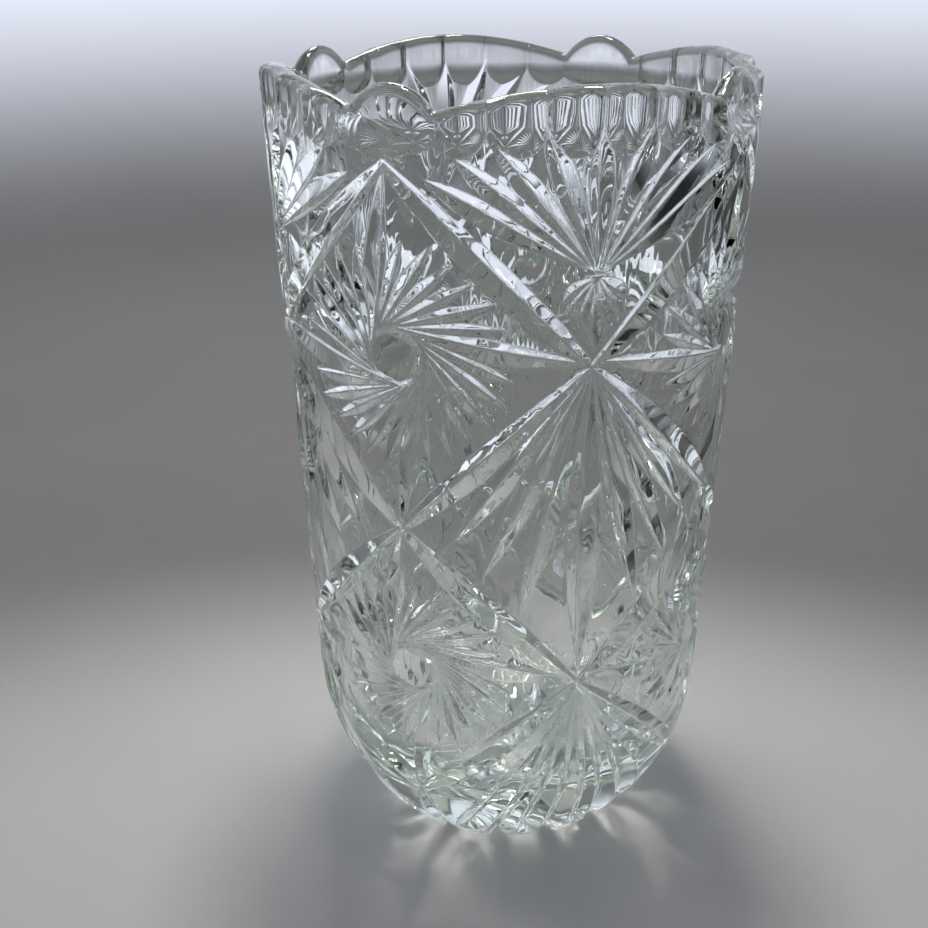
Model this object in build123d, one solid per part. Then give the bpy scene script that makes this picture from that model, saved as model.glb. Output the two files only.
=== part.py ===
"""Cut crystal vase: one heavy piece of glass, open at the top, with a scalloped rim and wheel-cut walls.

Millimetres, +Z up, origin at the centre of the foot, on the plane that the vase stands on.
The pattern repeats four times round the vase. Angles go round +Z from -Y towards +X, and a
rim lobe stands over each of -Y, +X, +Y and -X. A place on the wall is (angle, height).
"""

import math
import os

from build123d import *

# Overall size.
HEIGHT = 250.0
RIM_RADIUS = 74.0
SHOULDER_RADIUS = 65.2
SHOULDER_HEIGHT = 0.20 * HEIGHT
SHOULDER_ARC = 72.5

# The hollow inside.
RIM_WALL = 8.0
SIDE_WALL = 9.5
FLOOR_THICKNESS = 20.0
FLOOR_ROUND = 30.0

# Foot: a flat ring round a shallow hollow.
FOOT_HOLLOW_RADIUS = 34.0
FOOT_HOLLOW_SLANT = 6.0
FOOT_HOLLOW_DEPTH = 1.6

# The repeat round the vase.
REPEATS = 4
REPEAT_ANGLE = 360.0 / REPEATS
HALF_REPEAT = REPEAT_ANGLE / 2

# Scalloped rim: a small lobe on each axis and a wide arc between lobes.
LOBE_HALF_ANGLE = 10.2
NOTCH_HEIGHT = 0.974 * HEIGHT
WIDE_HALF_ANGLE = HALF_REPEAT - LOBE_HALF_ANGLE

# Upright flutes under the wide arcs, and one broader thumb cut on each lobe.
FLUTES_PER_ARC = 6
FLUTE_CUTTER = 12.0
FLUTE_DEPTH = 2.7
FLUTE_FOOT = 0.962 * HEIGHT
THUMB_CUTTER = 52.0
THUMB_DEPTH = 3.2
THUMB_FOOT = 0.966 * HEIGHT
THUMB_FOOT_ROUND = 10.4

# Heights of the crossings of the big mitres: P, C and Q below a lobe, B and D between lobes.
# A is the centre of the star above each B.
HEIGHT_P = 0.922 * HEIGHT
HEIGHT_B = 0.706 * HEIGHT
HEIGHT_C = 0.502 * HEIGHT
HEIGHT_D = 0.298 * HEIGHT
HEIGHT_Q = 0.115 * HEIGHT
HEIGHT_A = 0.810 * HEIGHT

# V cuts: half the angle of the V, and how deep each kind is at its middle.
V_HALF_ANGLE = 52.0
MITRE_DEPTH = 3.3
MITRE_END_DEPTH = 0.8
FAN_DEPTH = 2.4
FAN_CENTRE_DEPTH = 3.4
STAR_DEPTH = 2.4
LEAF_DEPTH = 1.6
PINWHEEL_DEPTH = 1.4
PINWHEEL_LONG_DEPTH = 2.2
FOOT_RAY_DEPTH = 2.8

# A groove's tool is this far clear of the glass at a pointed end, and along its open side.
TIP_LIFT = 0.25
SIDE_LIFT = 1.5
GROOVE_STEPS = 6
SHORT_GROOVE_STEPS = 3

# Fans and stars: directions of the rays, in degrees from straight down or straight up.
RAY_START_GAP = 2.0
FAN_DIRECTIONS = (-36.0, -25.0, -14.0, 0.0, 14.0, 25.0, 36.0)
FAN_END_GAP = 7.0
STAR_DIRECTIONS = (-61.5, -51.0, -39.0, -21.0, 0.0, 21.0, 39.0, 51.0, 61.5)
STAR_LENGTHS = (52.0, 48.0, 45.0, 42.0, 38.0, 42.0, 45.0, 48.0, 52.0)
LEAF_DIRECTIONS = (-51.0, -33.0, -15.0, 0.0, 15.0, 33.0, 51.0)
LEAF_LENGTHS = (11.5, 13.5, 15.0, 21.0, 15.0, 13.5, 11.5)

# Pinwheels: rays that leave a round core at a tangent, the long ones towards the corners of their diamond.
PINWHEEL_RAYS = 28
PINWHEEL_CORE = 0.033 * HEIGHT
PINWHEEL_GAP = 6.0

# Foot: rays from each D down the shoulder, every other one out through the edge of the foot into a
# star of grooves under it. The star's grooves rise from the middle of the foot to its edge.
FOOT_RAYS = 32
FOOT_RAY_START_ANGLE = 0.5
FOOT_RAY_LONG_END = -0.012 * HEIGHT
FOOT_RAY_SHORT_END = 0.02 * HEIGHT
FOOT_STAR_RAYS = FOOT_RAYS // 2
FOOT_STAR_INNER = 12.0
FOOT_STAR_INNER_TOP = 1.8
FOOT_STAR_OUTER = 60.0
FOOT_STAR_OUTER_TOP = 3.8
FOOT_STAR_BELOW = 2.0

# How far a tool runs on past the glass.
ABOVE_RIM = 10.0

WALL_SLOPE = (RIM_RADIUS - SHOULDER_RADIUS) / (HEIGHT - SHOULDER_HEIGHT)
WALL_TILT = math.degrees(math.atan(WALL_SLOPE))
ARC_CENTRE_RADIUS = SHOULDER_RADIUS - SHOULDER_ARC * math.cos(math.radians(WALL_TILT))
ARC_CENTRE_HEIGHT = SHOULDER_HEIGHT + SHOULDER_ARC * math.sin(math.radians(WALL_TILT))
FOOT_RADIUS = ARC_CENTRE_RADIUS + math.sqrt(SHOULDER_ARC**2 - ARC_CENTRE_HEIGHT**2)


def outer_radius(height):
    """Radius of the uncut outside at a height."""
    if height >= SHOULDER_HEIGHT:
        return SHOULDER_RADIUS + WALL_SLOPE * (height - SHOULDER_HEIGHT)
    return ARC_CENTRE_RADIUS + math.sqrt(SHOULDER_ARC**2 - (ARC_CENTRE_HEIGHT - height) ** 2)


def outward_tilt(height):
    """Angle of the wall's outward normal below the horizontal, in degrees."""
    if height >= SHOULDER_HEIGHT:
        return WALL_TILT
    return math.degrees(math.asin((ARC_CENTRE_HEIGHT - height) / SHOULDER_ARC))


def radial(angle):
    """Horizontal unit vector pointing out of the axis at an angle."""
    turn = math.radians(angle)
    return Vector(math.sin(turn), -math.cos(turn), 0)


def wall_normal(angle, height):
    tilt = math.radians(outward_tilt(height))
    return radial(angle) * math.cos(tilt) - Vector(0, 0, 1) * math.sin(tilt)


def wall_point(angle, height):
    return radial(angle) * outer_radius(height) + Vector(0, 0, height)


def blank():
    """The uncut vase, turned about its axis."""
    foot_edge = (FOOT_RADIUS, 0)
    arc_turn = math.radians((outward_tilt(0) + WALL_TILT) / 2)
    arc_middle = (
        ARC_CENTRE_RADIUS + SHOULDER_ARC * math.cos(arc_turn),
        ARC_CENTRE_HEIGHT - SHOULDER_ARC * math.sin(arc_turn),
    )
    shoulder = (SHOULDER_RADIUS, SHOULDER_HEIGHT)
    outline = (
        Polyline((0, FOOT_HOLLOW_DEPTH), (FOOT_HOLLOW_RADIUS - FOOT_HOLLOW_SLANT, FOOT_HOLLOW_DEPTH),
                 (FOOT_HOLLOW_RADIUS, 0), foot_edge)
        + ThreePointArc(foot_edge, arc_middle, shoulder)
        + Polyline(shoulder, (RIM_RADIUS, HEIGHT), (0, HEIGHT), (0, FOOT_HOLLOW_DEPTH))
    )
    return revolve(Plane.XZ * make_face(outline), Axis.Z)


def hollow():
    """The space inside, with a rounded floor, running out past the rim."""
    low_radius = SHOULDER_RADIUS - SIDE_WALL
    slope = (RIM_RADIUS - RIM_WALL - low_radius) / (HEIGHT - SHOULDER_HEIGHT)
    top = (RIM_RADIUS - RIM_WALL + slope * ABOVE_RIM, HEIGHT + ABOVE_RIM)
    side = (low_radius, SHOULDER_HEIGHT)
    floor = (low_radius - FLOOR_ROUND, FLOOR_THICKNESS)
    knee = math.sqrt(0.5)
    bend = (floor[0] + FLOOR_ROUND * knee, SHOULDER_HEIGHT - FLOOR_ROUND * knee)
    outline = (
        Line((0, FLOOR_THICKNESS), floor)
        + ThreePointArc(floor, bend, side)
        + Polyline(side, top, (0, HEIGHT + ABOVE_RIM), (0, FLOOR_THICKNESS))
    )
    return revolve(Plane.XZ * make_face(outline), Axis.Z)


def scallop(angle, half_angle):
    """What is cut away above one arc of the rim: a wedge from the axis, curved underneath."""
    inner_reach = RIM_RADIUS / 4
    outer_reach = RIM_RADIUS * 5 / 4
    sections = []
    for reach in (inner_reach, outer_reach):
        half_width = reach * math.tan(math.radians(half_angle))
        rise = (HEIGHT - NOTCH_HEIGHT) * reach / RIM_RADIUS
        face_plane = Plane(radial(angle) * reach + Vector(0, 0, NOTCH_HEIGHT),
                           x_dir=radial(angle + 90), z_dir=radial(angle))
        outline = (
            ThreePointArc((-half_width, 0), (0, rise), (half_width, 0))
            + Polyline((half_width, 0), (half_width, ABOVE_RIM), (-half_width, ABOVE_RIM), (-half_width, 0))
        )
        sections.append(face_plane * make_face(outline))
    return loft(sections, ruled=True)


def scoop(angle, foot_height, foot_round, cutter_radius, depth):
    """An upright round-bottomed cut in the outside, from a rounded foot up past the rim."""
    rise = HEIGHT - foot_height + ABOVE_RIM
    sides = [(cutter_radius, 0), (cutter_radius, rise), (0, rise), (0, -foot_round)]
    if foot_round < cutter_radius:
        sides.append((cutter_radius - foot_round, -foot_round))
    outline = CenterArc((cutter_radius - foot_round, 0), foot_round, -90, 90) + Polyline(*sides)
    tool = revolve(Plane.XZ * make_face(outline), Axis.Z)
    centre = wall_point(angle, foot_height) + wall_normal(angle, foot_height) * (cutter_radius - depth)
    along_wall = radial(angle) * WALL_SLOPE + Vector(0, 0, 1)
    return Plane(centre, x_dir=radial(angle + 90), z_dir=along_wall) * tool


def ray_end(start, direction, length):
    """Place at a distance from start. Direction is in degrees from straight up, clockwise from outside."""
    turn = math.radians(direction)
    height = start[1] + length * math.cos(turn)
    middle_radius = outer_radius((start[1] + height) / 2)
    return (start[0] + math.degrees(length * math.sin(turn) / middle_radius), height)


def section(place, run, deep):
    """Corners of a V cut across the wall at a place: its bottom, then its two edges, clear of the glass."""
    out = wall_normal(*place)
    across = out.cross(run).normalized()
    bottom = wall_point(*place) - out * deep
    lift = max(deep, 0) + SIDE_LIFT
    side = across * lift * math.tan(math.radians(V_HALF_ANGLE))
    edge_middle = bottom + out * lift
    return [bottom, edge_middle + side, edge_middle - side]


def run_at(start, end, place):
    """Direction on the wall of a cut from start to end, where it passes a place."""
    angle, height = place
    up_wall = wall_normal(angle, height).cross(radial(angle + 90))
    turned = math.radians(end[0] - start[0]) * outer_radius(height)
    climbed = (end[1] - start[1]) / math.cos(math.radians(outward_tilt(height)))
    return radial(angle + 90) * turned + up_wall * climbed


def groove(start, end, depth, start_depth=-TIP_LIFT, end_depth=-TIP_LIFT, steps=GROOVE_STEPS):
    """A V cut that follows the wall from start to end, deepest in the middle.

    A start or end depth below zero lifts the tool clear of the glass there, which leaves a pointed end.
    """
    sections = []
    for step in range(steps + 1):
        share = step / steps
        place = (start[0] + (end[0] - start[0]) * share, start[1] + (end[1] - start[1]) * share)
        ends = start_depth + (end_depth - start_depth) * share
        deep = ends + (depth - (start_depth + end_depth) / 2) * (1 - (2 * share - 1) ** 2)
        sections.append(Wire.make_polygon(section(place, run_at(start, end, place), deep), close=True))
    return Solid.make_loft(sections, ruled=True)


def notch(start, end, depth):
    """A short pointed V cut with flat sides, from start to end, deepest in the middle."""
    middle = ((start[0] + end[0]) / 2, (start[1] + end[1]) / 2)
    run = run_at(start, end, middle)
    ring = section(middle, run, depth)
    first = wall_point(*start) + wall_normal(*start) * TIP_LIFT
    last = wall_point(*end) + wall_normal(*end) * TIP_LIFT
    faces = []
    for i in range(3):
        for tip in (first, last):
            corners = [tip, ring[i], ring[(i + 1) % 3]]
            faces.append(Face(Wire.make_polygon(corners, close=True)))
    solid = Solid(Shell(faces))
    return solid if solid.volume > 0 else -solid


def mitres():
    """The big diagonal V cuts that cross in diamonds, each segment deepest midway."""
    heights = (HEIGHT_P, HEIGHT_B, HEIGHT_C, HEIGHT_D, HEIGHT_Q)
    cuts = []
    for turn in range(REPEATS):
        for lean in (-1, 1):
            for level in range(len(heights) - 1):
                first = turn * REPEAT_ANGLE + lean * level * HALF_REPEAT
                start = (first, heights[level])
                end = (first + lean * HALF_REPEAT, heights[level + 1])
                cuts.append(groove(start, end, MITRE_DEPTH, MITRE_END_DEPTH, MITRE_END_DEPTH))
    return cuts


def fans():
    """Seven rays that spread downwards from each B crossing, between the mitres below it."""
    slope_of_border = (HEIGHT_C - HEIGHT_D) / (math.radians(HALF_REPEAT) * outer_radius(HEIGHT_C))
    cuts = []
    for direction in FAN_DIRECTIONS:
        spread = math.tan(math.radians(abs(direction)))
        drop = (HEIGHT_B - HEIGHT_D) / (1 + slope_of_border * spread) - FAN_END_GAP
        length = drop / math.cos(math.radians(direction))
        depth = FAN_CENTRE_DEPTH if direction == 0 else FAN_DEPTH
        for turn in range(REPEATS):
            node = (turn * REPEAT_ANGLE + HALF_REPEAT, HEIGHT_B)
            start = ray_end(node, 180 + direction, RAY_START_GAP)
            end = ray_end(node, 180 + direction, length)
            cuts.append(groove(start, end, depth))
    return cuts


def foot_fans():
    """Rays that spread from each D crossing down the shoulder, every other one out through the foot."""
    pitch = 360.0 / FOOT_RAYS
    cuts = []
    for turn in range(REPEATS):
        between = turn * REPEAT_ANGLE + HALF_REPEAT
        for step in (-3, -2, -1, 0, 1, 2, 3):
            start = (between + step * FOOT_RAY_START_ANGLE, HEIGHT_D - RAY_START_GAP)
            if step % 2:
                end = (between + step * pitch, FOOT_RAY_SHORT_END)
                cuts.append(groove(start, end, FOOT_RAY_DEPTH))
            else:
                end = (between + step * pitch, FOOT_RAY_LONG_END)
                cuts.append(groove(start, end, FOOT_RAY_DEPTH, end_depth=FOOT_RAY_DEPTH))
        below_lobe = turn * REPEAT_ANGLE
        cuts.append(groove((below_lobe, HEIGHT_Q), (below_lobe, FOOT_RAY_LONG_END), FOOT_RAY_DEPTH,
                           end_depth=FOOT_RAY_DEPTH))
    return cuts


def stars():
    """Rays that spread upwards from each A to the feet of the flutes."""
    cuts = []
    for turn in range(REPEATS):
        node = (turn * REPEAT_ANGLE + HALF_REPEAT, HEIGHT_A)
        for direction, length in zip(STAR_DIRECTIONS, STAR_LENGTHS):
            start = ray_end(node, direction, RAY_START_GAP)
            cuts.append(groove(start, ray_end(node, direction, length), STAR_DEPTH))
        for direction, length in zip(LEAF_DIRECTIONS, LEAF_LENGTHS):
            start = ray_end(node, 180 + direction, RAY_START_GAP)
            end = ray_end(node, 180 + direction, length)
            cuts.append(groove(start, end, LEAF_DEPTH, steps=SHORT_GROOVE_STEPS))
    return cuts


def foot_star():
    """Radial V cuts across the underside, which break out through the edge of the foot."""
    side_reach = math.tan(math.radians(V_HALF_ANGLE))
    ends = ((FOOT_STAR_INNER, FOOT_STAR_INNER_TOP), (FOOT_STAR_OUTER, FOOT_STAR_OUTER_TOP))
    cuts = []
    for ray in range(FOOT_STAR_RAYS):
        angle = ray * 360.0 / FOOT_STAR_RAYS
        sections = []
        for reach, top in ends:
            peak = radial(angle) * reach + Vector(0, 0, top)
            fall = top + FOOT_STAR_BELOW
            corner = peak - Vector(0, 0, fall)
            side = radial(angle + 90) * fall * side_reach
            sections.append(Wire.make_polygon([peak, corner + side, corner - side], close=True))
        cuts.append(Solid.make_loft(sections, ruled=True))
    return cuts


def pinwheels(top, middle, bottom):
    """Rays that leave a small round core at a tangent, in the diamond below each lobe between two heights."""
    cuts = []
    pitch = 360.0 / PINWHEEL_RAYS
    per_corner = PINWHEEL_RAYS // 4
    half_tall = (top - bottom) / 2
    half_wide = math.radians(HALF_REPEAT) * outer_radius(middle)
    corner_tilt = math.degrees(math.asin(PINWHEEL_CORE / half_tall))
    for ray in range(PINWHEEL_RAYS):
        turn = math.radians(90 + corner_tilt + ray * pitch)
        run = (math.sin(turn), math.cos(turn))
        core = (-run[1] * PINWHEEL_CORE, run[0] * PINWHEEL_CORE)
        length = border_distance(core, run, half_wide, half_tall)
        step = ray % per_corner
        if step:
            length -= PINWHEEL_GAP * (2 if step in (1, per_corner - 1) else 1)
        for repeat in range(REPEATS):
            centre = (repeat * REPEAT_ANGLE, (top + bottom) / 2)
            start = flat_to_wall(centre, core[0], core[1])
            end = flat_to_wall(centre, core[0] + run[0] * length, core[1] + run[1] * length)
            if step:
                cuts.append(notch(start, end, PINWHEEL_DEPTH))
            else:
                cuts.append(groove(start, end, PINWHEEL_LONG_DEPTH, steps=SHORT_GROOVE_STEPS))
    return cuts


def upper_pinwheels():
    return pinwheels(HEIGHT_P, HEIGHT_B, HEIGHT_C)


def lower_pinwheels():
    return pinwheels(HEIGHT_C, HEIGHT_D, HEIGHT_Q)


def flat_to_wall(centre, across, up):
    """Place on the wall of a point given by its distances from a centre, as if the wall were flat."""
    return (centre[0] + math.degrees(across / outer_radius(centre[1])), centre[1] + up)


def border_distance(start, run, half_wide, half_tall):
    """How far a ray from start goes before it meets the sides of a diamond round the origin."""
    reach = math.inf
    for side_across in (-1, 1):
        for side_up in (-1, 1):
            closing = side_across * run[0] / half_wide + side_up * run[1] / half_tall
            here = side_across * start[0] / half_wide + side_up * start[1] / half_tall
            if closing > 0:
                reach = min(reach, (1 - here) / closing)
    return reach


def scallops():
    """What is cut away above every arc of the rim."""
    cuts = []
    for turn in range(REPEATS):
        lobe = turn * REPEAT_ANGLE
        cuts.append(scallop(lobe, LOBE_HALF_ANGLE))
        cuts.append(scallop(lobe + HALF_REPEAT, WIDE_HALF_ANGLE))
    return cuts


def flutes():
    """The upright cuts under the rim: a broad thumb cut on each lobe, and flutes between lobes."""
    pitch = 2 * WIDE_HALF_ANGLE / FLUTES_PER_ARC
    cuts = []
    for turn in range(REPEATS):
        lobe = turn * REPEAT_ANGLE
        cuts.append(scoop(lobe, THUMB_FOOT, THUMB_FOOT_ROUND, THUMB_CUTTER, THUMB_DEPTH))
        for flute in range(FLUTES_PER_ARC):
            angle = lobe + LOBE_HALF_ANGLE + (flute + 0.5) * pitch
            cuts.append(scoop(angle, FLUTE_FOOT, FLUTE_CUTTER, FLUTE_CUTTER, FLUTE_DEPTH))
    return cuts


def cut_vase():
    """The blank, hollowed, with every family of cuts taken out of it in turn."""
    vase = blank() - hollow()
    for family in (scallops, flutes, mitres, fans, foot_fans, stars, foot_star,
                   upper_pinwheels, lower_pinwheels):
        vase = vase - family()
    return vase


os.makedirs("parts", exist_ok=True)
vase_body = cut_vase()
export_step(vase_body, "parts/vase_body.step")
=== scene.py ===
"""Looks of the cut crystal vase: the glass with all its cuts, the studio round it and the camera.

Metres, in the frame of the CAD part: +Z up, origin at the centre of the foot. Every size of the vase
is a share of its height, which is measured from the CAD part. Angles are in degrees and go round +Z from -Y
towards +X. A place on the skin is (angle, distance up along the wall from the shoulder).
"""

import math

import bpy
import numpy as np
from mathutils import Matrix, Vector


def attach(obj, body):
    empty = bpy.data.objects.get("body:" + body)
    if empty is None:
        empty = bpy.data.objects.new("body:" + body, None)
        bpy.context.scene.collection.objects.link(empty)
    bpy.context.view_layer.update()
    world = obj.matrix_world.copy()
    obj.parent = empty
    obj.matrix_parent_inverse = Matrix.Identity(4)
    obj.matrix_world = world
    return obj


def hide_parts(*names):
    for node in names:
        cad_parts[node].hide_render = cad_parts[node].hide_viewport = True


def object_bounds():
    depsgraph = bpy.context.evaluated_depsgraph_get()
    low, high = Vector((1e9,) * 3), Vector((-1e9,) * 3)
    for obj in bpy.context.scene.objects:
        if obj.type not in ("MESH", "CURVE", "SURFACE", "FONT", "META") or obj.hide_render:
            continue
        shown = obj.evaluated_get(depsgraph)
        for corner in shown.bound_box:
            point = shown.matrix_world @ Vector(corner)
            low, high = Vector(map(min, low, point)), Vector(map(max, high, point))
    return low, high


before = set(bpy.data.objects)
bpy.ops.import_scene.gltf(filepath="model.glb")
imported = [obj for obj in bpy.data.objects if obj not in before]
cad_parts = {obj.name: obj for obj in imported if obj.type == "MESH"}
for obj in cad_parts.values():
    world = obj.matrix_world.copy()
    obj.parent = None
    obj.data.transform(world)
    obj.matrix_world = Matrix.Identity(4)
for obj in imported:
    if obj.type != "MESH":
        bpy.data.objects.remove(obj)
cad_low, cad_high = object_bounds()

HEIGHT = cad_high.z - cad_low.z
MM = HEIGHT / 250.0

# Outline of the uncut vase.
RIM_RADIUS = 73.95 * MM
SHOULDER_RADIUS = 65.2 * MM
SHOULDER_HEIGHT = 0.20 * HEIGHT
SHOULDER_ARC = 72.5 * MM
FOOT_CORNER = 2.0 * MM
RIM_WALL = 8.0 * MM
SIDE_WALL = 9.5 * MM
LIP_RISE = 3.2 * MM
FLOOR_THICKNESS = 20.0 * MM
FLOOR_ROUND = 30.0 * MM
FOOT_HOLLOW_RADIUS = 28.0 * MM
FOOT_RING_RADIUS = 34.0 * MM
FOOT_HOLLOW_DEPTH = 1.6 * MM

# The repeat, the scalloped rim and its flutes.
REPEATS = 4
REPEAT_ANGLE = 360.0 / REPEATS
HALF_REPEAT = REPEAT_ANGLE / 2
LOBE_HALF_ANGLE = 10.2
NOTCH_HEIGHT = 0.974 * HEIGHT
WIDE_HALF_ANGLE = HALF_REPEAT - LOBE_HALF_ANGLE
FLUTES_PER_ARC = 6
FLUTE_CUTTER = 12.0 * MM
FLUTE_DEPTH = 2.7 * MM
FLUTE_FOOT = 0.962 * HEIGHT
FLUTE_FOOT_LENGTH = 7.6 * MM
THUMB_CUTTER = 52.0 * MM
THUMB_DEPTH = 2.8 * MM
THUMB_LEAN = 0.07
THUMB_FOOT = 0.966 * HEIGHT
THUMB_FOOT_LENGTH = 7.5 * MM

# Heights of the crossings and of the star's centre.
HEIGHT_P = 0.922 * HEIGHT
HEIGHT_A = 0.810 * HEIGHT
HEIGHT_B = 0.706 * HEIGHT
HEIGHT_C = 0.502 * HEIGHT
HEIGHT_D = 0.298 * HEIGHT
HEIGHT_Q = 0.115 * HEIGHT

# The V cuts. A ray's peak is where along it, from 0 to 1, it is widest and deepest.
# Directions are in degrees from straight up or straight down.
V_HALF_ANGLE = 52.0
BOTTOM_ROUND = 0.1 * MM
RIDGE_ROUND = 0.2 * MM
MITRE_DEPTH = 3.3 * MM
MITRE_END_DEPTH = 0.8 * MM
MITRE_PEAK = 0.5
RAY_START_GAP = 1.0 * MM
FAN_DIRECTIONS = (-36.0, -25.0, -14.0, 0.0, 14.0, 25.0, 36.0)
FAN_DEPTH = 3.0 * MM
FAN_CENTRE_DEPTH = 4.2 * MM
FAN_PEAK = 0.5
FAN_END_GAP = 7.0 * MM
STAR_DIRECTIONS = (-61.5, -51.0, -39.0, -21.0, 0.0, 21.0, 39.0, 51.0, 61.5)
STAR_LENGTHS = tuple(mm * MM for mm in (52.0, 48.0, 45.0, 42.0, 38.0, 42.0, 45.0, 48.0, 52.0))
STAR_DEPTH = 2.5 * MM
STAR_PEAK = 0.62
LEAF_DIRECTIONS = (-51.0, -33.0, -15.0, 0.0, 15.0, 33.0, 51.0)
LEAF_LENGTHS = tuple(mm * MM for mm in (11.5, 13.5, 15.0, 21.0, 15.0, 13.5, 11.5))
LEAF_DEPTH = 2.0 * MM
LEAF_PEAK = 0.6
PINWHEEL_RAYS = 28
PINWHEEL_CORE = 0.033 * HEIGHT
PINWHEEL_GAP = 6.0 * MM
PINWHEEL_DEPTH = 1.95 * MM
PINWHEEL_LONG_DEPTH = 2.7 * MM
PINWHEEL_EARLY = 2.5 * MM
PINWHEEL_LONG_EARLY = 8.0 * MM
PINWHEEL_PEAK = 0.45
FOOT_RAYS = 32
FOOT_RAYS_EACH_SIDE = 3
FOOT_RAY_DEPTH = 3.4 * MM
FOOT_RAY_END = 1.2 * MM
FOOT_RAY_END_DEPTH = 2.8 * MM
FOOT_RAY_SHORT_END = 0.028 * HEIGHT
FOOT_RAY_SHORT_DEPTH = 2.4 * MM
FOOT_RAY_PEAK = 0.7
FOOT_RAY_END_SHARE = 0.6
FOOT_MITRE_DEPTH = 0.6 * MM
FOOT_STAR_GROOVES = 4
FOOT_STAR_INNER = 8.0 * MM
FOOT_STAR_INNER_DEPTH = -0.2 * MM

# The pressed inside has a slow ripple, and the cut outside a much fainter one. A wave is how many
# times it goes round the vase, and how many radians it turns over the vase's height. The inner ripple
# grows from nothing at the lip to its full depth by one twelfth of the way down the wall.
INNER_RIPPLE = 0.7 * MM
OUTER_RIPPLE = 0.06 * MM
INNER_WAVES = ((5, 21.0), (9, -43.0), (14, 17.0), (17, 58.0), (23, -71.0), (31, 12.0))
OUTER_WAVES = ((13, 37.0), (21, -52.0), (34, 29.0), (41, -78.0), (55, 61.0))
WAVE_PHASE = 2.4
RIPPLE_FADE = 12

# How finely the skin is divided before it is thinned, and how many triangles are left.
SECTOR_COLUMNS = 360
ROW_STEP = 0.32 * MM
BASE_STEPS = 44
CORNER_STEPS = 7
STRETCH_FROM = 0.9 * HEIGHT
LIP_STEPS = 18
LIP_FULLNESS = 0.8
INNER_STEPS = 70
BEND_STEPS = 24
FLOOR_SHARES = (0.8, 0.6, 0.4, 0.2)
KEPT_TRIANGLES = 700000

# The crystal: its index, how its tint drifts from place to place, and how it absorbs light per metre.
CRYSTAL_IOR = 1.54
TINT_SCALE = 14.0
TINT_LOW = 0.3
TINT_HIGH = 0.7
TINT_GREENER = (0.97, 0.995, 0.98, 1)
TINT_CLEAR = (1, 1, 1, 1)
ABSORPTION_COLOUR = (0.80, 0.90, 0.80, 1)
ABSORPTION_DENSITY = 7.0

# The camera, and the side of the studio behind the vase as the camera sees it.
CAMERA_ANGLE = 26.4
CAMERA_DISTANCE = 1.590 * HEIGHT
CAMERA_HEIGHT = 1.167 * HEIGHT
CAMERA_DOWN = math.radians(23.45)
CAMERA_YAW = math.radians(-2.11)
CAMERA_ROLL = math.radians(-0.43)
CAMERA_LENS = 50.43
CAMERA_SENSOR = 36.0
BEHIND = CAMERA_ANGLE + 180

# The sweep: a flat round floor that curves up into a wall.
SWEEP_FLAT = 0.75
SWEEP_CURVE = 0.35
SWEEP_TOP = 1.3
SWEEP_FLAT_STEPS = 4
SWEEP_CURVE_STEPS = 16
SWEEP_SIDES = 96

# Its paint, in metres from the middle: a painted pool of light round the vase in a greyer floor, and painted
# shade on the right side.
PAINT_ROUGHNESS = 0.9
PAINT_SPECULAR = 0.2
LIGHT_POOL_NARROWING = 0.6
LIGHT_POOL_SHIFT = 0.06
LIGHT_POOL_INNER = 0.09
LIGHT_POOL_OUTER = 0.25
LIGHT_POOL_COLOUR = (0.58, 0.58, 0.575, 1)
FLOOR_COLOUR = (0.212, 0.212, 0.206, 1)
MOTTLE_SCALE = 9.0
MOTTLE_SHARE = 0.12
SHADE_FROM = -0.35
SHADE_TO = -0.7
SHADE_SHARE = 0.95
SHADE_COLOUR = (0.01, 0.01, 0.01, 1)

# Its glow grows with height. It is strongest behind the vase, and on the left it stands for a white card.
GLOW_COLOUR = (0.81, 0.85, 0.985, 1)
GLOW_STRENGTH = 1.03
GLOW_FULL_HEIGHT = 0.27
GLOW_FROM = -0.4
GLOW_TO = 1.0
GLOW_LEAST = 0.04
CARD_FROM = 0.55
CARD_TO = 0.9
CARD_GLOW = 0.45

# The lights: the places they shine from and at, their sides in metres, watts and colours.
KEY_TURN = 8.0
KEY_RADIUS = 0.50
KEY_HEIGHT = 0.75
KEY_TARGET = Vector((0, 0, 0.1))
KEY_SIZE = 0.2
KEY_POWER = 1.6
KEY_COLOUR = (1.0, 0.96, 0.86)
OVERHEAD_RADIUS = 0.2
OVERHEAD_HEIGHT = 1.0
OVERHEAD_TARGET = Vector((0, 0, 0))
OVERHEAD_SIZE = 0.14
OVERHEAD_POWER = 3.0
OVERHEAD_COLOUR = (1.0, 0.965, 0.88)
ROOM_COLOUR = (1.0, 1.0, 0.98, 1)
ROOM_STRENGTH = 0.08

WALL_SLOPE = (RIM_RADIUS - SHOULDER_RADIUS) / (HEIGHT - SHOULDER_HEIGHT)
WALL_TILT = math.atan(WALL_SLOPE)
ARC_CENTRE_RADIUS = SHOULDER_RADIUS - SHOULDER_ARC * math.cos(WALL_TILT)
ARC_CENTRE_HEIGHT = SHOULDER_HEIGHT + SHOULDER_ARC * math.sin(WALL_TILT)
FOOT_TILT = math.asin((ARC_CENTRE_HEIGHT - FOOT_CORNER) / (SHOULDER_ARC - FOOT_CORNER))
CORNER_RADIUS = ARC_CENTRE_RADIUS + (SHOULDER_ARC - FOOT_CORNER) * math.cos(FOOT_TILT)
INNER_LOW_RADIUS = SHOULDER_RADIUS - SIDE_WALL
INNER_SLOPE = (RIM_RADIUS - RIM_WALL - INNER_LOW_RADIUS) / (HEIGHT - SHOULDER_HEIGHT)
V_SPREAD = math.tan(math.radians(V_HALF_ANGLE))
UP = Vector((0, 0, 1))


def outer_radius(height):
    if height >= SHOULDER_HEIGHT:
        return SHOULDER_RADIUS + WALL_SLOPE * (height - SHOULDER_HEIGHT)
    return ARC_CENTRE_RADIUS + math.sqrt(SHOULDER_ARC**2 - (ARC_CENTRE_HEIGHT - height) ** 2)


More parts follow.
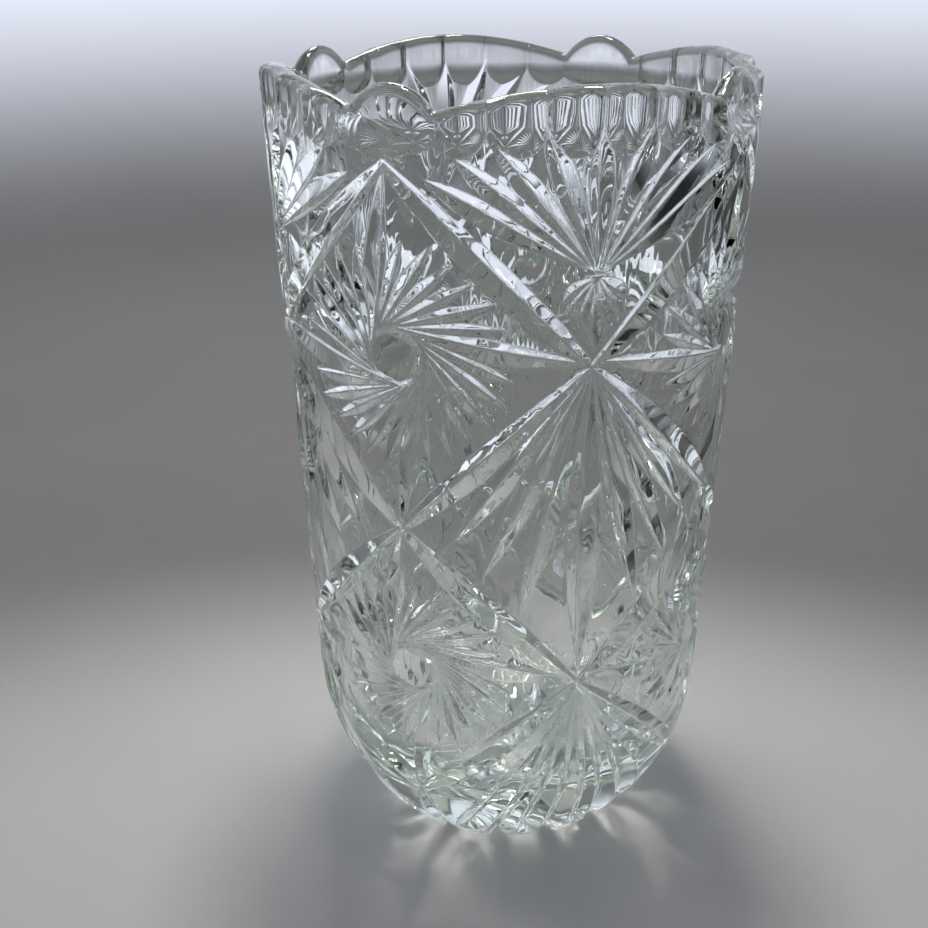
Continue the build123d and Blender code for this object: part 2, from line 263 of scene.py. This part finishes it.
def along_wall(height):
    """Distance up the wall from the shoulder, below zero under it."""
    if height >= SHOULDER_HEIGHT:
        return (height - SHOULDER_HEIGHT) / math.cos(WALL_TILT)
    tilt = math.asin((ARC_CENTRE_HEIGHT - height) / SHOULDER_ARC)
    return -SHOULDER_ARC * (tilt - WALL_TILT)


def radial(angle):
    turn = math.radians(angle)
    return Vector((math.sin(turn), -math.cos(turn), 0))


def at(angle, radius, height):
    return radial(angle) * radius + UP * height


def rim_height(angle):
    """Height of the rim: a circular arc over each lobe and a wide one between lobes."""
    from_lobe = np.abs((angle + HALF_REPEAT) % REPEAT_ANGLE - HALF_REPEAT)
    on_lobe = from_lobe <= LOBE_HALF_ANGLE
    half = np.where(on_lobe, LOBE_HALF_ANGLE, WIDE_HALF_ANGLE)
    offset = np.where(on_lobe, from_lobe, from_lobe - HALF_REPEAT)
    half_chord = RIM_RADIUS * np.sin(np.radians(half))
    across = RIM_RADIUS * np.sin(np.radians(offset))
    rise = HEIGHT - NOTCH_HEIGHT
    arc = (half_chord**2 + rise**2) / (2 * rise)
    return HEIGHT - arc + np.sqrt(np.maximum(arc**2 - across**2, 0))


def foot_rows():
    """The outer skin from the foot's middle to the shoulder: radius, height, tilt and distance along."""
    rows = []
    corner_along = along_wall(ARC_CENTRE_HEIGHT - SHOULDER_ARC * math.sin(FOOT_TILT))
    base_along = corner_along - FOOT_CORNER * (math.pi / 2 - FOOT_TILT)
    for step in range(1, BASE_STEPS):
        radius = CORNER_RADIUS * step / BASE_STEPS
        share = (FOOT_RING_RADIUS - radius) / (FOOT_RING_RADIUS - FOOT_HOLLOW_RADIUS)
        share = min(max(share, 0), 1)
        height = FOOT_HOLLOW_DEPTH * share * share * (3 - 2 * share)
        rows.append((radius, height, math.pi / 2, base_along - (CORNER_RADIUS - radius)))
    for step in range(CORNER_STEPS):
        tilt = math.pi / 2 + (FOOT_TILT - math.pi / 2) * step / CORNER_STEPS
        rows.append((CORNER_RADIUS + FOOT_CORNER * math.cos(tilt), FOOT_CORNER * (1 - math.sin(tilt)), tilt,
                     base_along + FOOT_CORNER * (math.pi / 2 - tilt)))
    shoulder_steps = round(SHOULDER_ARC * (FOOT_TILT - WALL_TILT) / ROW_STEP)
    for step in range(shoulder_steps):
        tilt = FOOT_TILT + (WALL_TILT - FOOT_TILT) * step / shoulder_steps
        rows.append((ARC_CENTRE_RADIUS + SHOULDER_ARC * math.cos(tilt),
                     ARC_CENTRE_HEIGHT - SHOULDER_ARC * math.sin(tilt), tilt,
                     -SHOULDER_ARC * (tilt - WALL_TILT)))
    return np.array(rows)


def skin(angles):
    """Radius, height, tilt and distance along of every point of the outer skin, before it is cut.

    The rows are level up to the stretch, whose rows spread or close up to end along the rim's curve.
    """
    count = len(angles)
    foot = [np.repeat(column[:, None], count, axis=1) for column in foot_rows().T]
    plain_steps = round((STRETCH_FROM - SHOULDER_HEIGHT) / ROW_STEP)
    plain = SHOULDER_HEIGHT + (STRETCH_FROM - SHOULDER_HEIGHT) * np.arange(plain_steps) / plain_steps
    top = rim_height(angles) - LIP_RISE
    stretch_steps = round((HEIGHT - LIP_RISE - STRETCH_FROM) / ROW_STEP)
    shares = np.arange(stretch_steps + 1)[:, None] / stretch_steps
    heights = np.vstack([np.repeat(plain[:, None], count, axis=1),
                         STRETCH_FROM + (top - STRETCH_FROM)[None, :] * shares])
    rise = heights - SHOULDER_HEIGHT
    wall = (SHOULDER_RADIUS + WALL_SLOPE * rise, heights, np.full_like(heights, WALL_TILT),
            rise / math.cos(WALL_TILT))
    return [np.vstack(pair) for pair in zip(foot, wall)]


def blend_in(cut, rows, new):
    """Joins a new cut to those already there, with a rounded ridge where they meet."""
    old = cut[rows]
    near = np.maximum(RIDGE_ROUND - np.abs(old - new), 0)
    cut[rows] = np.maximum(old, new) + near**2 / (4 * RIDGE_ROUND)


class Skin:
    """One repeat of the outer skin: where each point is, and how deep it is cut."""

    def __init__(self, angles):
        self.angles = angles
        self.radius, self.height, self.tilt, self.along = skin(angles)
        self.cut = np.zeros_like(self.radius)

    def rows_between(self, low, high):
        inside = (self.along.max(axis=1) >= low) & (self.along.min(axis=1) <= high)
        found = np.flatnonzero(inside)
        return slice(found[0], found[-1] + 1)

    def offset(self, angle):
        return (self.angles - angle + HALF_REPEAT) % REPEAT_ANGLE - HALF_REPEAT

    def groove(self, start, end, bulge, peak, start_depth=0.0, end_depth=0.0):
        """A V cut between two places. Its depth goes evenly from end to end, plus a bulge in between."""
        reach = (bulge + max(start_depth, end_depth) + RIDGE_ROUND) * V_SPREAD + BOTTOM_ROUND
        low = min(start[1], end[1]) - reach
        high = max(start[1], end[1]) + reach
        rows = self.rows_between(low, high)
        radius = self.radius[rows]
        along = self.along[rows]
        middle = (start[0] + end[0]) / 2
        across = np.radians(self.offset(middle) + middle - start[0])[None, :] * radius
        up = along - start[1]
        run_across = math.radians(end[0] - start[0]) * radius
        run_up = end[1] - start[1]
        length = np.sqrt(run_across**2 + run_up**2)
        share = (across * run_across + up * run_up) / length**2
        aside = (across * run_up - up * run_across) / length
        kept = np.clip(share, 0, 1)
        beyond = (share - kept) * length
        depth = start_depth + (end_depth - start_depth) * kept
        depth = depth + bulge * (kept / peak) ** (peak / (1 - peak)) * (1 - kept) / (1 - peak)
        distance = np.sqrt(aside**2 + beyond**2 + BOTTOM_ROUND**2) - BOTTOM_ROUND
        blend_in(self.cut, rows, depth - distance / V_SPREAD)

    def scoop(self, angle, foot_height, foot_length, cutter, depth, lean=0.0):
        """A hollow of round section, from a rounded foot up to the rim, deeper downwards if it leans."""
        foot = along_wall(foot_height)
        rows = self.rows_between(foot - foot_length - RIDGE_ROUND, math.inf)
        across = np.radians(self.offset(angle))[None, :] * self.radius[rows]
        half_width = math.sqrt(cutter**2 - (cutter - depth) ** 2)
        under = np.minimum(self.along[rows] - foot, 0) * half_width / foot_length
        ball = np.sqrt(np.maximum(cutter**2 - across**2 - under**2, 0))
        deeper = lean * (along_wall(HEIGHT) - self.along[rows])
        blend_in(self.cut, rows, depth + deeper - cutter + ball)


def place(angle, height):
    """Place on the skin at a height."""
    return (angle, along_wall(height))


def ray_end(start, direction, length):
    """Place at a distance from start. Direction is in degrees from straight up, towards larger angles."""
    turn = math.radians(direction)
    along = start[1] + length * math.cos(turn)
    middle_radius = SHOULDER_RADIUS + math.sin(WALL_TILT) * (start[1] + along) / 2
    return (start[0] + math.degrees(length * math.sin(turn) / middle_radius), along)


def cut_mitres(vase):
    """Straight cuts between the crossings, which cross in diamonds."""
    heights = (HEIGHT_P, HEIGHT_B, HEIGHT_C, HEIGHT_D, HEIGHT_Q)
    for lean in (-1, 1):
        for level in range(len(heights) - 1):
            first = lean * level * HALF_REPEAT
            vase.groove(place(first, heights[level]), place(first + lean * HALF_REPEAT, heights[level + 1]),
                        MITRE_DEPTH - MITRE_END_DEPTH, MITRE_PEAK, MITRE_END_DEPTH, MITRE_END_DEPTH)


def cut_ray(vase, node, direction, length, depth, peak):
    vase.groove(ray_end(node, direction, RAY_START_GAP), ray_end(node, direction, length), depth, peak)


def cut_fan(vase):
    """Rays down from each crossing on the middle row, to a little short of the mitres below."""
    border_slope = (HEIGHT_C - HEIGHT_D) / (math.radians(HALF_REPEAT) * outer_radius(HEIGHT_C))
    node = place(HALF_REPEAT, HEIGHT_B)
    for direction in FAN_DIRECTIONS:
        spread = math.tan(math.radians(abs(direction)))
        drop = (HEIGHT_B - HEIGHT_D) / (1 + border_slope * spread) - FAN_END_GAP
        length = drop / math.cos(math.radians(direction))
        depth = FAN_CENTRE_DEPTH if direction == 0 else FAN_DEPTH
        cut_ray(vase, node, 180 + direction, length, depth, FAN_PEAK)


def cut_star(vase):
    """Long rays up and to the sides of each star's centre, and short leaves under it."""
    node = place(HALF_REPEAT, HEIGHT_A)
    for direction, length in zip(STAR_DIRECTIONS, STAR_LENGTHS):
        cut_ray(vase, node, direction, length, STAR_DEPTH, STAR_PEAK)
    for direction, length in zip(LEAF_DIRECTIONS, LEAF_LENGTHS):
        cut_ray(vase, node, 180 + direction, length, LEAF_DEPTH, LEAF_PEAK)


def border_distance(start, run, half_wide, half_tall):
    """How far a ray goes before it meets the sides of a diamond round the origin."""
    reach = math.inf
    for side_across in (-1, 1):
        for side_up in (-1, 1):
            closing = side_across * run[0] / half_wide + side_up * run[1] / half_tall
            here = side_across * start[0] / half_wide + side_up * start[1] / half_tall
            if closing > 0:
                reach = min(reach, (1 - here) / closing)
    return reach


def cut_pinwheels(vase):
    """Rays that pass beside a round core to the sides of their diamond, the long ones to its corners."""
    pitch = 360.0 / PINWHEEL_RAYS
    per_corner = PINWHEEL_RAYS // 4
    for top, middle, bottom in ((HEIGHT_P, HEIGHT_B, HEIGHT_C), (HEIGHT_C, HEIGHT_D, HEIGHT_Q)):
        centre = along_wall((top + bottom) / 2)
        half_tall = (along_wall(top) - along_wall(bottom)) / 2
        middle_radius = outer_radius(middle)
        half_wide = math.radians(HALF_REPEAT) * middle_radius
        corner_tilt = math.degrees(math.asin(PINWHEEL_CORE / half_tall))
        for ray in range(PINWHEEL_RAYS):
            turn = math.radians(90 + corner_tilt + ray * pitch)
            run = (math.sin(turn), math.cos(turn))
            core = (-run[1] * PINWHEEL_CORE, run[0] * PINWHEEL_CORE)
            length = border_distance(core, run, half_wide, half_tall)
            step = ray % per_corner
            depth = PINWHEEL_LONG_DEPTH
            early = PINWHEEL_LONG_EARLY
            if step:
                depth = PINWHEEL_DEPTH
                early = PINWHEEL_EARLY
                beside_long = step in (1, per_corner - 1)
                length -= PINWHEEL_GAP * (2 if beside_long else 1)
            start = (core[0] - run[0] * early, core[1] - run[1] * early)
            end = (core[0] + run[0] * length, core[1] + run[1] * length)
            vase.groove((math.degrees(start[0] / middle_radius), centre + start[1]),
                        (math.degrees(end[0] / middle_radius), centre + end[1]),
                        depth, PINWHEEL_PEAK)


def cut_foot(vase):
    """Rays from each low crossing to the foot. Every other one runs on under it, in a star."""
    pitch = 360.0 / FOOT_RAYS
    edge = along_wall(FOOT_RAY_END)
    base = edge - (CORNER_RADIUS - FOOT_STAR_INNER)
    start = (HALF_REPEAT, along_wall(HEIGHT_D) - RAY_START_GAP)
    for step in range(-FOOT_RAYS_EACH_SIDE, FOOT_RAYS_EACH_SIDE + 1):
        low = edge if step % 2 == 0 else along_wall(FOOT_RAY_SHORT_END)
        end_depth = FOOT_RAY_END_DEPTH if step % 2 == 0 else FOOT_RAY_SHORT_DEPTH
        vase.groove(start, (HALF_REPEAT + step * pitch, low),
                    FOOT_RAY_DEPTH - end_depth * FOOT_RAY_END_SHARE, FOOT_RAY_PEAK, 0.0, end_depth)
    vase.groove(place(0.0, HEIGHT_Q), (0.0, edge),
                FOOT_MITRE_DEPTH, MITRE_PEAK, MITRE_END_DEPTH, FOOT_RAY_END_DEPTH)
    for step in range(FOOT_STAR_GROOVES):
        angle = 2 * step * pitch
        vase.groove((angle, edge), (angle, base), 0.0, MITRE_PEAK, FOOT_RAY_END_DEPTH, FOOT_STAR_INNER_DEPTH)


def cut_rim(vase):
    """A wide thumb cut under each lobe, and upright flutes under each wide arc."""
    vase.scoop(0.0, THUMB_FOOT, THUMB_FOOT_LENGTH, THUMB_CUTTER, THUMB_DEPTH, THUMB_LEAN)
    pitch = 2 * WIDE_HALF_ANGLE / FLUTES_PER_ARC
    for flute in range(FLUTES_PER_ARC):
        angle = LOBE_HALF_ANGLE + (flute + 0.5) * pitch
        vase.scoop(angle, FLUTE_FOOT, FLUTE_FOOT_LENGTH, FLUTE_CUTTER, FLUTE_DEPTH)


def ripple(angles, heights, waves):
    """A slow uneven swell from 0 to 1, the same every run."""
    total = np.zeros(np.broadcast(angles, heights).shape)
    for i, (around, tall) in enumerate(waves):
        total += np.sin(np.radians(angles) * around + heights / HEIGHT * tall + WAVE_PHASE * i * i)
    return 0.5 + 0.5 * total / len(waves)


def outside(angles):
    """Radius and height of the cut outside, ring by ring, and how far the lip rises above the last one."""
    part = Skin(REPEAT_ANGLE * np.arange(SECTOR_COLUMNS) / SECTOR_COLUMNS)
    for cutter in (cut_rim, cut_mitres, cut_fan, cut_star, cut_pinwheels, cut_foot):
        cutter(part)
    grids = (part.radius, part.height, part.tilt, part.cut)
    radius, height, tilt, cut = (np.tile(grid, (1, REPEATS)) for grid in grids)
    cut = cut + OUTER_RIPPLE * ripple(angles, height, OUTER_WAVES) * (height > FOOT_CORNER)
    cut_height = height + cut * np.sin(tilt)
    return radius - cut * np.cos(tilt), cut_height, height[-1] + LIP_RISE - cut_height[-1]


def lip(outer_edge, inner_edge, wall_top, rise):
    """Radius and height of the rounded lip, from the outer edge over to the inner one."""
    turns = math.pi * np.arange(1, LIP_STEPS)[:, None] / LIP_STEPS
    middle = (outer_edge + inner_edge) / 2
    return (middle + (outer_edge - inner_edge) / 2 * np.cos(turns),
            wall_top + rise * np.sin(turns) ** LIP_FULLNESS)


def inside_wall(angles, wall_top):
    """Radius and height of the rippled inside, from the lip down to the shoulder."""
    shares = np.arange(INNER_STEPS)[:, None] / INNER_STEPS
    heights = wall_top + (SHOULDER_HEIGHT - wall_top) * shares
    swell = INNER_RIPPLE * ripple(angles, heights, INNER_WAVES) * np.minimum(shares * RIPPLE_FADE, 1)
    return INNER_LOW_RADIUS + INNER_SLOPE * (heights - SHOULDER_HEIGHT) + swell, heights


def inside_bend(angles):
    """Radius and height of the round bend from the inside wall to the floor, where the ripple dies out."""
    turns = math.pi / 2 * np.arange(BEND_STEPS + 1)[:, None] / BEND_STEPS
    radius = INNER_LOW_RADIUS - FLOOR_ROUND * (1 - np.cos(turns))
    height = SHOULDER_HEIGHT - (SHOULDER_HEIGHT - FLOOR_THICKNESS) * np.sin(turns)
    swell = INNER_RIPPLE * ripple(angles, height, INNER_WAVES) * np.cos(turns)
    return radius + swell, np.broadcast_to(height, swell.shape)


def inside_floor(count):
    radius = (INNER_LOW_RADIUS - FLOOR_ROUND) * np.array(FLOOR_SHARES)[:, None]
    shape = (len(FLOOR_SHARES), count)
    return np.broadcast_to(radius, shape), np.full(shape, FLOOR_THICKNESS)


def vase_mesh():
    """The whole vase as one closed skin: the cut outside, the lip, and the rippled inside."""
    count = REPEATS * SECTOR_COLUMNS
    angles = (360.0 * np.arange(count) / count)[None, :]
    outer_radii, outer_heights, lip_rise = outside(angles)
    wall_top = outer_heights[-1]
    inner_edge = INNER_LOW_RADIUS + INNER_SLOPE * (wall_top - SHOULDER_HEIGHT)
    rings = ((outer_radii, outer_heights), lip(outer_radii[-1], inner_edge, wall_top, lip_rise),
             inside_wall(angles, wall_top), inside_bend(angles), inside_floor(count))
    radius = np.vstack([ring[0] for ring in rings])
    height = np.vstack([ring[1] for ring in rings])
    turn = np.radians(angles)
    points = np.stack([radius * np.sin(turn), -radius * np.cos(turn), height], axis=-1)
    return closed_mesh("vase_glass", points, UP * FOOT_HOLLOW_DEPTH, UP * FLOOR_THICKNESS)


def add_object(name, data):
    made = bpy.data.objects.new(name, data)
    bpy.context.scene.collection.objects.link(made)
    return made


def shade_smooth(made):
    made.data.polygons.foreach_set("use_smooth", [True] * len(made.data.polygons))


def closed_mesh(name, points, first_cap, last_cap):
    """A mesh through rings of points, closed at both ends by fans round two middle points."""
    rows, count, _ = points.shape
    vertices = np.vstack([points.reshape(-1, 3), [tuple(first_cap)], [tuple(last_cap)]])
    here = np.arange(count)
    there = (here + 1) % count
    low = np.arange(rows - 1)[:, None] * count
    high = low + count
    quads = np.stack([low + here, low + there, high + there, high + here], axis=-1).reshape(-1, 4)
    first = rows * count
    last = first + 1
    top = first - count
    fans = np.vstack([np.stack([there, here, np.full(count, first)], axis=-1),
                      np.stack([top + here, top + there, np.full(count, last)], axis=-1)])
    corners = np.concatenate([quads.ravel(), fans.ravel()])
    starts = np.concatenate([4 * np.arange(len(quads)), 4 * len(quads) + 3 * np.arange(len(fans))])
    mesh = bpy.data.meshes.new(name)
    mesh.vertices.add(len(vertices))
    mesh.vertices.foreach_set("co", vertices.ravel())
    mesh.loops.add(len(corners))
    mesh.loops.foreach_set("vertex_index", corners)
    mesh.polygons.add(len(starts))
    mesh.polygons.foreach_set("loop_start", starts)
    mesh.update(calc_edges=True)
    mesh.validate()
    return add_object(name, mesh)


def thin_out(made):
    """Merges triangles where the skin is plain, which leaves them crowded along edges and round shapes."""
    triangles = sum(len(face.vertices) - 2 for face in made.data.polygons)
    thin = made.modifiers.new("thin", "DECIMATE")
    thin.ratio = KEPT_TRIANGLES / triangles
    graph = bpy.context.evaluated_depsgraph_get()
    result = bpy.data.meshes.new_from_object(made.evaluated_get(graph))
    made.modifiers.remove(thin)
    made.data = result


def new_material(name):
    material = bpy.data.materials.new(name)
    material.use_nodes = True
    material.node_tree.nodes.clear()
    return material


def number_node(tree, operation, first, second):
    """Sum or product of a linked number and a second one, linked or set."""
    node = tree.nodes.new("ShaderNodeMath")
    node.operation = operation
    tree.links.new(first, node.inputs[0])
    if isinstance(second, float):
        node.inputs[1].default_value = second
    else:
        tree.links.new(second, node.inputs[1])
    return node.outputs["Value"]


def smooth_step(tree, value, start, end, low, high):
    """Number that goes smoothly from low to high as the value goes from start to end."""
    node = tree.nodes.new("ShaderNodeMapRange")
    node.interpolation_type = "SMOOTHSTEP"
    node.inputs["From Min"].default_value = start
    node.inputs["From Max"].default_value = end
    node.inputs["To Min"].default_value = low
    node.inputs["To Max"].default_value = high
    tree.links.new(value, node.inputs["Value"])
    return node.outputs["Result"]


def colour_between(tree, value, start, start_colour, end, end_colour, kind):
    """Colour that goes from one to the other as the value goes from start to end."""
    node = tree.nodes.new("ShaderNodeValToRGB")
    node.color_ramp.interpolation = kind
    first, last = node.color_ramp.elements
    first.position = start
    first.color = start_colour
    last.position = end
    last.color = end_colour
    tree.links.new(value, node.inputs["Fac"])
    return node.outputs["Color"]


def noise_at(tree, where, scale):
    node = tree.nodes.new("ShaderNodeTexNoise")
    node.inputs["Scale"].default_value = scale
    tree.links.new(where, node.inputs["Vector"])
    return node.outputs["Fac"]


def distance_towards(tree, where, angle):
    """How far a point lies from the middle, measured towards an angle."""
    node = tree.nodes.new("ShaderNodeVectorMath")
    node.operation = "DOT_PRODUCT"
    node.inputs[1].default_value = tuple(radial(angle))
    tree.links.new(where, node.inputs[0])
    return node.outputs["Value"]


def crystal():
    """Clear lead crystal: polished, with a tint that drifts a little, and greenish where it is thick."""
    material = new_material("crystal")
    tree = material.node_tree
    link = tree.links.new
    output = tree.nodes.new("ShaderNodeOutputMaterial")
    glass = tree.nodes.new("ShaderNodeBsdfPrincipled")
    glass.inputs["Transmission Weight"].default_value = 1.0
    glass.inputs["Roughness"].default_value = 0.0
    glass.inputs["IOR"].default_value = CRYSTAL_IOR
    where = tree.nodes.new("ShaderNodeTexCoord").outputs["Object"]
    drift = noise_at(tree, where, TINT_SCALE)
    tint = colour_between(tree, drift, TINT_LOW, TINT_GREENER, TINT_HIGH, TINT_CLEAR, "LINEAR")
    link(tint, glass.inputs["Base Color"])
    absorb = tree.nodes.new("ShaderNodeVolumeAbsorption")
    absorb.inputs["Color"].default_value = ABSORPTION_COLOUR
    absorb.inputs["Density"].default_value = ABSORPTION_DENSITY
    link(glass.outputs["BSDF"], output.inputs["Surface"])
    link(absorb.outputs["Volume"], output.inputs["Volume"])
    return material


def paint_colour(tree, where, backwards, leftwards):
    """A painted pool of light round the vase, greyer further out, a little mottled, and painted shade on the
    right.
    """
    turned = tree.nodes.new("ShaderNodeCombineXYZ")
    tree.links.new(backwards, turned.inputs["X"])
    tree.links.new(leftwards, turned.inputs["Y"])
    # Painted pool of light round the vase, fading to the greyer floor.
    light_pool = tree.nodes.new("ShaderNodeVectorMath")
    light_pool.operation = "MULTIPLY_ADD"
    light_pool.inputs[1].default_value = (1, LIGHT_POOL_NARROWING, 0)
    light_pool.inputs[2].default_value = (LIGHT_POOL_SHIFT, 0, 0)
    tree.links.new(turned.outputs["Vector"], light_pool.inputs[0])
    reach = tree.nodes.new("ShaderNodeVectorMath")
    reach.operation = "LENGTH"
    tree.links.new(light_pool.outputs["Vector"], reach.inputs[0])
    shade = colour_between(tree, reach.outputs["Value"], LIGHT_POOL_INNER, LIGHT_POOL_COLOUR,
                           LIGHT_POOL_OUTER, FLOOR_COLOUR, "EASE")
    mottle = tree.nodes.new("ShaderNodeMix")
    mottle.data_type = "RGBA"
    mottle.blend_type = "MULTIPLY"
    mottle.inputs["Factor"].default_value = MOTTLE_SHARE
    tree.links.new(shade, mottle.inputs["A"])
    tree.links.new(noise_at(tree, where, MOTTLE_SCALE), mottle.inputs["B"])
    # Painted shade on the right side of the sweep.
    painted_shade = smooth_step(tree, leftwards, SHADE_FROM, SHADE_TO, 0.0, SHADE_SHARE)
    shaded = tree.nodes.new("ShaderNodeMix")
    shaded.data_type = "RGBA"
    shaded.inputs["B"].default_value = SHADE_COLOUR
    tree.links.new(painted_shade, shaded.inputs["Factor"])
    tree.links.new(mottle.outputs["Result"], shaded.inputs["A"])
    return shaded.outputs["Result"]


def paint_glow(tree, where, backwards, leftwards):
    """Strength of the glow, which grows upwards, behind the vase and on the left."""
    split = tree.nodes.new("ShaderNodeSeparateXYZ")
    tree.links.new(where, split.inputs["Vector"])
    upwards = smooth_step(tree, split.outputs["Z"], 0.0, GLOW_FULL_HEIGHT, 0.0, 1.0)
    lobe = smooth_step(tree, backwards, GLOW_FROM, GLOW_TO, GLOW_LEAST, 1.0)
    card = smooth_step(tree, leftwards, CARD_FROM, CARD_TO, 0.0, CARD_GLOW)
    sideways = number_node(tree, "ADD", lobe, card)
    both = number_node(tree, "MULTIPLY", upwards, sideways)
    return number_node(tree, "MULTIPLY", both, GLOW_STRENGTH)


def studio_paint():
    """Matt paint for the sweep with a painted pool of light and painted shade, and a soft glow of its own
    towards the top.
    """
    material = new_material("studio_paint")
    tree = material.node_tree
    link = tree.links.new
    output = tree.nodes.new("ShaderNodeOutputMaterial")
    paint = tree.nodes.new("ShaderNodeBsdfPrincipled")
    paint.inputs["Roughness"].default_value = PAINT_ROUGHNESS
    paint.inputs["Specular IOR Level"].default_value = PAINT_SPECULAR
    paint.inputs["Emission Color"].default_value = GLOW_COLOUR
    where = tree.nodes.new("ShaderNodeTexCoord").outputs["Object"]
    backwards = distance_towards(tree, where, BEHIND)
    leftwards = distance_towards(tree, where, BEHIND + 90)
    link(paint_colour(tree, where, backwards, leftwards), paint.inputs["Base Color"])
    link(paint_glow(tree, where, backwards, leftwards), paint.inputs["Emission Strength"])
    link(paint.outputs["BSDF"], output.inputs["Surface"])
    return material


def sweep():
    """Round floor that curves up into a wall on every side."""
    outline = [(SWEEP_FLAT * step / SWEEP_FLAT_STEPS, 0.0) for step in range(1, SWEEP_FLAT_STEPS + 1)]
    for step in range(1, SWEEP_CURVE_STEPS + 1):
        turn = math.pi / 2 * step / SWEEP_CURVE_STEPS
        outline.append((SWEEP_FLAT + SWEEP_CURVE * math.sin(turn), SWEEP_CURVE * (1 - math.cos(turn))))
    outline.append((SWEEP_FLAT + SWEEP_CURVE, SWEEP_TOP))
    vertices = [Vector((0, 0, 0))]
    for radius, height in outline:
        vertices += [at(360.0 * side / SWEEP_SIDES, radius, height) for side in range(SWEEP_SIDES)]
    faces = [(0, 1 + side, 1 + (side + 1) % SWEEP_SIDES) for side in range(SWEEP_SIDES)]
    for ring in range(len(outline) - 1):
        low = 1 + ring * SWEEP_SIDES
        high = low + SWEEP_SIDES
        for side in range(SWEEP_SIDES):
            after = (side + 1) % SWEEP_SIDES
            faces.append((low + side, high + side, high + after, low + after))
    mesh = bpy.data.meshes.new("studio_sweep")
    mesh.from_pydata(vertices, [], faces)
    mesh.validate()
    made = add_object("studio_sweep", mesh)
    shade_smooth(made)
    return made


def area_light(name, spot, target, size, power, colour):
    light = bpy.data.lights.new(name, "AREA")
    light.size = size
    light.energy = power
    light.color = colour
    made = add_object(name, light)
    made.location = spot
    made.rotation_euler = (target - spot).to_track_quat("-Z", "Y").to_euler()


def camera():
    """The photographer's place, in front and above, turned round to where the lobes stand as seen."""
    data = bpy.data.cameras.new("camera")
    data.lens = CAMERA_LENS
    data.sensor_width = CAMERA_SENSOR
    made = add_object("camera", data)
    ahead = Vector((math.sin(CAMERA_YAW), math.cos(CAMERA_YAW), 0))
    forward = ahead * math.cos(CAMERA_DOWN) - UP * math.sin(CAMERA_DOWN)
    level = Vector((math.cos(CAMERA_YAW), -math.sin(CAMERA_YAW), 0))
    upright = level.cross(forward)
    right = level * math.cos(CAMERA_ROLL) + upright * math.sin(CAMERA_ROLL)
    up = upright * math.cos(CAMERA_ROLL) - level * math.sin(CAMERA_ROLL)
    pose = Matrix((right, up, -forward)).transposed().to_4x4()
    pose.translation = Vector((0, -CAMERA_DISTANCE, CAMERA_HEIGHT))
    made.matrix_world = Matrix.Rotation(math.radians(CAMERA_ANGLE), 4, "Z") @ pose
    bpy.context.scene.camera = made


def lights():
    """A key light high behind the vase, one overhead, and a faint even light from the room."""
    key = at(BEHIND + KEY_TURN, KEY_RADIUS, KEY_HEIGHT)
    area_light("key", key, KEY_TARGET, KEY_SIZE, KEY_POWER, KEY_COLOUR)
    overhead = at(BEHIND, OVERHEAD_RADIUS, OVERHEAD_HEIGHT)
    area_light("overhead", overhead, OVERHEAD_TARGET, OVERHEAD_SIZE, OVERHEAD_POWER, OVERHEAD_COLOUR)
    world = bpy.data.worlds.new("world")
    bpy.context.scene.world = world
    world.use_nodes = True
    background = world.node_tree.nodes["Background"]
    background.inputs["Color"].default_value = ROOM_COLOUR
    background.inputs["Strength"].default_value = ROOM_STRENGTH


def light_paths():
    """Enough bounces for glass seen through glass, and bright sparks left in."""
    cycles = bpy.context.scene.cycles
    cycles.max_bounces = 24
    cycles.transmission_bounces = 24
    cycles.glossy_bounces = 8
    cycles.diffuse_bounces = 4
    cycles.blur_glossy = 0.0
    cycles.sample_clamp_indirect = 60.0


camera()

vase = vase_mesh()
thin_out(vase)
shade_smooth(vase)
vase.data.materials.clear()
vase.data.materials.append(crystal())
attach(vase, "root")
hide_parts("vase_body")

stage = sweep()
stage.data.materials.append(studio_paint())

lights()
light_paths()
bpy.context.scene.view_settings.view_transform = "Standard"
